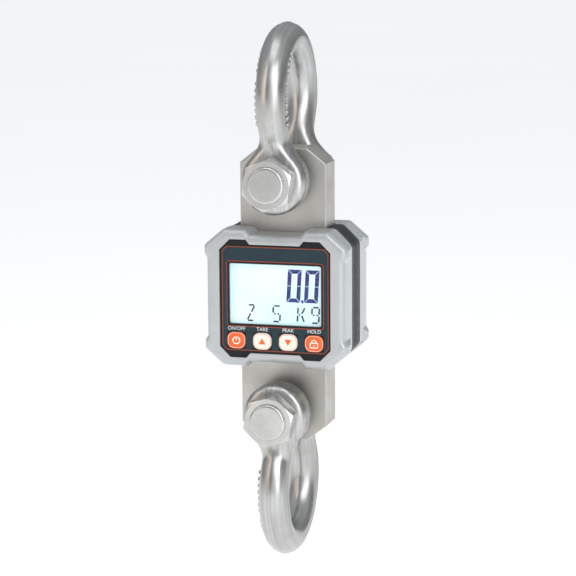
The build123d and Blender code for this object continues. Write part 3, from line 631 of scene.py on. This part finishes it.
def show_reading():
    """The dark segments of the reading, just in front of the lit cell."""
    y = glass_low.y - PRINT_LIFT
    foot = window_middle.z + DIGIT_RISE - DIGIT_HEIGHT / 2
    pieces = [
        digit_zero("digit_" + name, window_middle.x + x * MM, y, window_middle.z + DIGIT_RISE)
        for name, x in DIGITS.items()
    ]
    digits = join("display_digits", pieces)
    lean(digits, foot + DIGIT_HEIGHT / 2)
    fit_out(digits, digit_ink, "scale_body")
    point = rounded_sheet(
        "display_point", window_middle.x + POINT_X, y, foot + POINT_SIZE / 2,
        POINT_SIZE, POINT_HEIGHT, POINT_CORNER,
    )
    fit_out(point, digit_ink, "scale_body")
    middle = window_middle.z - LETTER_DROP
    for letter, (x, segments) in LETTERS.items():
        bars = []
        centre = window_middle.x + x * MM
        for segment in segments:
            ends = [
                (centre + across * LETTER_HALF_WIDTH, middle + up * LETTER_HALF_HEIGHT)
                for across, up in SEGMENTS[segment]
            ]
            bars.append(segment_bar("bar", *ends, y))
        shape = join("display_letter_" + letter, bars)
        lean(shape, middle)
        fit_out(shape, letter_ink, "scale_body")


# === keys ========================================================================================

RIM_INSET = 0.55 * MM
RIM_WIDTH = 0.3 * MM
RIM_CORNER = 4.6 * MM
DISC_POINTS = 48
POWER_SIZE = 6.4 * MM
POWER_LINE = 0.9 * MM
POWER_GAP_HALF = 1.0 * MM  # half of the gap in the ring
POWER_BAR_RISE = 1.6 * MM
POWER_BAR_HEIGHT = 3.4 * MM
POWER_BAR_CORNER = 0.3 * MM
ARROW_RADIUS = 3.3 * MM
ARROW_SHIFT = 0.7 * MM  # brings the triangle's middle near the key's
LOCK_DROP = 1.3 * MM
LOCK_WIDTH = 6.8 * MM
LOCK_HEIGHT = 4.6 * MM
LOCK_CORNER = 0.6 * MM
LOCK_LINE = 0.8 * MM
KEYHOLE_SIZE = 1.1 * MM
KEYHOLE_CORNER = 0.5 * MM
HOOP_RISE = 1.0 * MM
HOOP_RADIUS = 2.3 * MM


def disc_ring(name, x, y, z, radius, width):
    """A flat round ring."""
    deselect()
    bpy.ops.mesh.primitive_circle_add(
        vertices=DISC_POINTS, radius=radius, fill_type="NGON", location=(x, y, z),
        rotation=(QUARTER_TURN, 0, 0),
    )
    return ring_from(take(name), width)


def power_sign(x, y, z):
    """An open ring with an upright bar in its gap."""
    ring = disc_ring("ring", x, y, z, POWER_SIZE / 2, POWER_LINE)
    edit(ring)
    for side in (-1, 1):
        cut(ring, (x + side * POWER_GAP_HALF, y, z), (1, 0, 0))
    pick_faces(ring, lambda c: c.z > z and abs(c.x - x) < POWER_GAP_HALF)
    bpy.ops.mesh.delete(type="FACE")
    done()
    bar = rounded_sheet(
        "bar", x, y, z + POWER_BAR_RISE, POWER_LINE, POWER_BAR_HEIGHT, POWER_BAR_CORNER, steps=3
    )
    return [ring, bar]


def arrow_sign(x, y, z, up):
    """A filled triangle."""
    deselect()
    bpy.ops.mesh.primitive_circle_add(
        vertices=3, radius=ARROW_RADIUS, fill_type="NGON", location=(x, y, z - up * ARROW_SHIFT),
        rotation=(QUARTER_TURN, 0 if up == 1 else math.pi, 0),
    )
    triangle = take("triangle")
    if triangle.data.polygons[0].normal.y > 0:
        edit(triangle)
        bpy.ops.mesh.flip_normals()
        done()
    return [triangle]


def lock_sign(x, y, z):
    """A padlock: a round-cornered body with a keyhole, and a half ring above it."""
    body = rounded_sheet("body", x, y, z - LOCK_DROP, LOCK_WIDTH, LOCK_HEIGHT, LOCK_CORNER)
    body = ring_from(body, LOCK_LINE)
    keyhole = rounded_sheet(
        "keyhole", x, y, z - LOCK_DROP, KEYHOLE_SIZE, KEYHOLE_SIZE, KEYHOLE_CORNER
    )
    hoop = disc_ring("hoop", x, y, z + HOOP_RISE, HOOP_RADIUS, LOCK_LINE)
    edit(hoop)
    cut(hoop, (x, y, z + HOOP_RISE), (0, 0, -1), drop=True)
    done()
    return [body, keyhole, hoop]


def print_keys():
    """The rim line and the sign on each key, pale on orange or orange on pale; they move with it."""
    for key, (_, slot) in KEYS.items():
        low, high = (Vector(corner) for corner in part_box(key + "_key"))
        middle = (low + high) / 2
        y = low.y - PRINT_LIFT
        width = high.x - low.x - 2 * (KEY_FLANGE + RIM_INSET)
        height = high.z - low.z - 2 * (KEY_FLANGE + RIM_INSET)
        rim = rounded_sheet(key + "_key_rim", middle.x, y, middle.z, width, height, RIM_CORNER)
        line_rubber = cream_rubber if slot == "orange_key" else orange_rubber
        fit_out(ring_from(rim, RIM_WIDTH), line_rubber, key + "_button")
        if key == "power":
            signs = power_sign(middle.x, y, middle.z)
        elif key == "hold":
            signs = lock_sign(middle.x, y, middle.z)
        else:
            signs = arrow_sign(middle.x, y, middle.z, 1 if key == "tare" else -1)
        fit_out(join(key + "_key_sign", signs), line_rubber, key + "_button")


# === shackles ====================================================================================

EAR_RADIUS = 26.0 * MM
EAR_HALF = 13.25 * MM  # half of an ear's thickness
EAR_OUT = 34.75 * MM  # from the middle of the bow to the middle of an ear
EAR_EDGE = 8.5 * MM
FLARE_RADIUS = 30.0 * MM
NECK_HALF = 11.4 * MM  # where a leg is slimmest
NECK_TURN = math.radians(30)
BOLT_HOLE = 13.0 * MM  # radius
RING_POINTS = 48
RIDGE = 0.55 * MM  # the trimmed flash line stands out this far
RIDGE_HALF = 4.0 * MM
# A section's outline is a power curve: 2 makes an ellipse, more makes it squarer.
ELLIPSE_POWER = 2
EAR_POWER = 2.5  # added to it at the ear
# Rises above the pin between which a leg changes from ear to bar.
POWER_SPAN = (10 * MM, 38 * MM)
DEPTH_SPAN = (14 * MM, 40 * MM)
RIDGE_SPAN = (22 * MM, 40 * MM)
NECK_RISE = 24 * MM  # a leg is back at its full width this far above its slimmest place
EAR_RISES = (-25.8, -25, -23, -20, -16, -11, -5, 1, 7, 12, 16)  # sections above the pin, in mm
REVERSE_STEPS = 8
CROWN_STEPS = 18  # from the end of the reverse bend to the crown
DRILL_POINTS = 96
SHADE_ANGLE = math.radians(40)


def ease(value, start, end):
    """A smooth step from 0 at the start to 1 at the end."""
    t = min(max((value - start) / (end - start), 0.0), 1.0)
    return t * t * (3 - 2 * t)


def leg_half_width(rise):
    """Half width of a leg that high above its pin: round ear, flare, slim neck and full bar."""
    flare_x = NECK_HALF + FLARE_RADIUS
    flare_top = math.sqrt((EAR_RADIUS + FLARE_RADIUS) ** 2 - flare_x**2)
    if rise < flare_top * EAR_RADIUS / (EAR_RADIUS + FLARE_RADIUS):
        return math.sqrt(max(EAR_RADIUS**2 - rise**2, 0.0))
    if rise < flare_top:
        return flare_x - math.sqrt(FLARE_RADIUS**2 - (flare_top - rise) ** 2)
    return NECK_HALF + (BAR_RADIUS - NECK_HALF) * ease(rise, flare_top, flare_top + NECK_RISE)


def leg_half_depth(rise):
    """Half thickness of a leg that high above its pin."""
    rim = -rise - (EAR_RADIUS - EAR_EDGE)
    if rim > 0:
        return EAR_HALF - EAR_EDGE + math.sqrt(EAR_EDGE**2 - rim**2)
    return EAR_HALF + (BAR_RADIUS - EAR_HALF) * ease(rise, *DEPTH_SPAN)


def leg_stations(radius, crown_rise):
    """Places from an ear's foot to the crown: out, rise and heading, 0 being straight up."""
    reverse = (radius * math.cos(NECK_TURN) - EAR_OUT) / (1 - math.cos(NECK_TURN))
    reverse_rise = crown_rise - (radius + reverse) * math.sin(NECK_TURN)
    stations = [(EAR_OUT, rise * MM, 0.0) for rise in EAR_RISES]
    for step in range(REVERSE_STEPS + 1):
        turn = NECK_TURN * step / REVERSE_STEPS
        out = EAR_OUT + reverse * (1 - math.cos(turn))
        stations.append((out, reverse_rise + reverse * math.sin(turn), turn))
    for step in range(1, CROWN_STEPS + 1):
        turn = -NECK_TURN + (QUARTER_TURN + NECK_TURN) * step / CROWN_STEPS
        stations.append((radius * math.cos(turn), crown_rise + radius * math.sin(turn), -turn))
    return stations


def forged_bow(which, up):
    """The bow as forged: a bar that runs out into its ears, with a faint flash line along it."""
    low, high = (Vector(corner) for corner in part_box(which + "_bow"))
    radius = high.y - BAR_RADIUS
    pin = low.z + EAR_RADIUS if up == 1 else high.z - EAR_RADIUS
    crown_rise = high.z - low.z - EAR_RADIUS - high.y
    leg = leg_stations(radius, crown_rise)
    run = [(1, *place) for place in leg] + [(-1, *place) for place in reversed(leg[:-1])]
    deselect()
    bpy.ops.mesh.primitive_circle_add(vertices=RING_POINTS, radius=BAR_RADIUS, fill_type="NGON")
    bow = take(which + "_forged_bow")
    edit(bow)
    for _ in run[1:]:
        bpy.ops.mesh.extrude_region_move(TRANSFORM_OT_translate={"value": (0, 0, MM)})
    done()
    for i, (side, out, rise, heading) in enumerate(run):
        half_width, half_depth = leg_half_width(rise), leg_half_depth(rise)
        power = ELLIPSE_POWER + EAR_POWER * (1 - ease(rise, *POWER_SPAN))
        ridge = RIDGE * ease(rise, *RIDGE_SPAN)
        for j in range(RING_POINTS):
            turn = 2 * math.pi * j / RING_POINTS
            c, s = math.cos(turn), math.sin(turn)
            across = half_width * math.copysign(abs(c) ** (2 / power), c)
            depth = half_depth * math.copysign(abs(s) ** (2 / power), s)
            depth += math.copysign(ridge * max(0.0, 1 - abs(across) / RIDGE_HALF), s)
            y = side * (out + depth * math.cos(heading))
            z = pin + up * (rise - depth * math.sin(heading))
            bow.data.vertices[i * RING_POINTS + j].co = (across, y, z)
    edit(bow)
    bpy.ops.mesh.normals_make_consistent(inside=False)
    done()
    deselect()
    bpy.ops.mesh.primitive_cylinder_add(
        vertices=DRILL_POINTS, radius=BOLT_HOLE, depth=3 * high.y, location=(0, 0, pin),
        rotation=(QUARTER_TURN, 0, 0),
    )
    drill = take("drill")
    only(bow)
    hole = bow.modifiers.new("bolt_hole", "BOOLEAN")
    hole.object = drill
    hole.solver = "FAST"
    bpy.ops.object.modifier_apply(modifier=hole.name)
    bpy.data.objects.remove(drill)
    bpy.ops.object.shade_smooth_by_angle(angle=SHADE_ANGLE)
    fit_out(bow, forged, which + "_shackle")
    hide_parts(which + "_bow")


PIP_SIZE = (1.8 * MM, 3.0 * MM, 4.4 * MM)  # stand-out, along the bar, across the bar
PIP_PITCH = 5.2 * MM
PIP_SHORT = 0.8  # every second pip is this much as long across the bar
PIP_EDGE = 0.5 * MM
PIP_START = -22.0  # first pip, in degrees from the bow's widest place to its crown
PIP_COUNT = 13
PIP_SPACE = 7  # the place left out between the two groups


def forging_pips(which, up):
    """Raised blocks left by the forging die on the bow's flanks."""
    low, high = (Vector(corner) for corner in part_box(which + "_bow"))
    radius = high.y - BAR_RADIUS
    centre_z = high.z - high.y if up == 1 else low.z + high.y
    pieces = []
    for flank, sides in ((-1, (-1, 1)), (1, (-1,) if up == 1 else ())):
        for side in sides:
            for i in range(PIP_COUNT):
                if i == PIP_SPACE:
                    continue
                angle = math.radians(PIP_START) + i * PIP_PITCH / radius
                deselect()
                bpy.ops.mesh.primitive_cube_add(
                    size=1,
                    location=(
                        flank * BAR_RADIUS,
                        side * radius * math.cos(angle),
                        centre_z + up * radius * math.sin(angle),
                    ),
                    rotation=(side * up * angle, 0, 0),
                )
                # The block's long side lies across the bar and its short side along it.
                stand_out, along, across = PIP_SIZE
                bpy.context.object.scale = (stand_out, across if i % 2 else across * PIP_SHORT, along)
                pip = take("pip")
                edit(pip)
                bpy.ops.mesh.bevel(offset=PIP_EDGE, segments=2, affect="EDGES")
                done()
                pieces.append(pip)
    pips = join(which + "_forging_pips", pieces)
    fit_out(pips, forged, which + "_shackle")


# === studio ======================================================================================

CAMERA_TURN = math.radians(15.53)
CAMERA_RISE = math.radians(9.91)
CAMERA_ROLL = math.radians(-0.34)
CAMERA_DISTANCE = 1.7984
CAMERA_LENS = 140.6
CAMERA_AIM = (-0.0002, 0.0029)  # the view's middle, right of and above the load cell's middle
CAMERA_REACH = 200  # nothing beyond it is drawn
FLOOR_DROP = 0.16
FLOOR_SIZE = 120
WORLD_STRENGTH = 0.8
HORIZON_LOW = -0.1  # the sky turns from its dark to its pale colour between these heights
HORIZON_HIGH = 0.8
# Place from the window's middle, width, height, power and tint.
SOFTBOXES = {
    "key_softbox": ((1.5, -1.5, 0.9), 1.1, 2.4, 24, "#FFFFFF"),
    "left_softbox": ((-1.6, -1.3, 0.9), 1.0, 2.0, 8, "#FFE9D6"),
    "top_softbox": ((0.0, -0.3, 2.0), 1.6, 1.2, 9, "#FFFFFF"),
}


def set_camera():
    """Looks at the load cell from in front, a little from the right and from above."""
    cell_low, cell_high = (Vector(corner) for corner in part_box("load_cell_plate"))
    a, e, r = CAMERA_TURN, CAMERA_RISE, CAMERA_ROLL
    back = Vector((math.sin(a) * math.cos(e), -math.cos(a) * math.cos(e), math.sin(e)))
    level = Vector((math.cos(a), math.sin(a), 0))
    over = back.cross(level)
    right = math.cos(r) * level + math.sin(r) * over
    up = back.cross(right)
    aim = (cell_low + cell_high) / 2 + CAMERA_AIM[0] * right + CAMERA_AIM[1] * up
    place = aim + CAMERA_DISTANCE * back
    camera = bpy.data.objects.new("camera", bpy.data.cameras.new("camera"))
    bpy.context.scene.collection.objects.link(camera)
    camera.matrix_world = Matrix((right, up, back)).transposed().to_4x4()
    camera.matrix_world.translation = place
    camera.data.lens = CAMERA_LENS
    camera.data.clip_end = CAMERA_REACH
    bpy.context.scene.camera = camera


def softbox(name, place, aim, width, height, power, tint):
    """An area light that faces what it is aimed at."""
    deselect()
    bpy.ops.object.light_add(type="AREA", location=place)
    light = bpy.context.object
    light.name = name
    light.data.shape = "RECTANGLE"
    light.data.size = width
    light.data.size_y = height
    light.data.energy = power
    light.data.color = colour(tint)[:3]
    light.rotation_euler = (Vector(place) - Vector(aim)).to_track_quat("Z", "Y").to_euler()


def set_studio():
    """Soft lights, a grey world and a pale floor."""
    middle = Vector(window_middle)
    for name, (offset, width, height, power, tint) in SOFTBOXES.items():
        softbox(name, middle + Vector(offset), middle, width, height, power, tint)
    world = bpy.data.worlds.new("studio")
    bpy.context.scene.world = world
    world.use_nodes = True
    tree = world.node_tree
    background = tree.nodes["Background"]
    direction = add(tree, "ShaderNodeTexCoord").outputs["Generated"]
    height = add(tree, "ShaderNodeSeparateXYZ", {"Vector": direction}).outputs["Z"]
    sockets = {"Value": height, "From Min": HORIZON_LOW, "From Max": HORIZON_HIGH}
    rise = add(tree, "ShaderNodeMapRange", sockets).outputs[0]
    sky = blend(tree, rise, colour("#8E8D8A"), colour("#D6DADF"))
    tree.links.new(sky, background.inputs["Color"])
    background.inputs["Strength"].default_value = WORLD_STRENGTH
    low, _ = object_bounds()
    deselect()
    bpy.ops.mesh.primitive_plane_add(size=FLOOR_SIZE, location=(0, 0, low[2] - FLOOR_DROP))
    floor = take("studio_floor")
    paint(floor, floor_paint())
    bpy.context.scene.view_settings.view_transform = "Standard"


print_panel()
print_words()
show_reading()
print_keys()
forged_bow("upper", 1)
forged_bow("lower", -1)
forging_pips("upper", 1)
forging_pips("lower", -1)
set_camera()
set_studio()
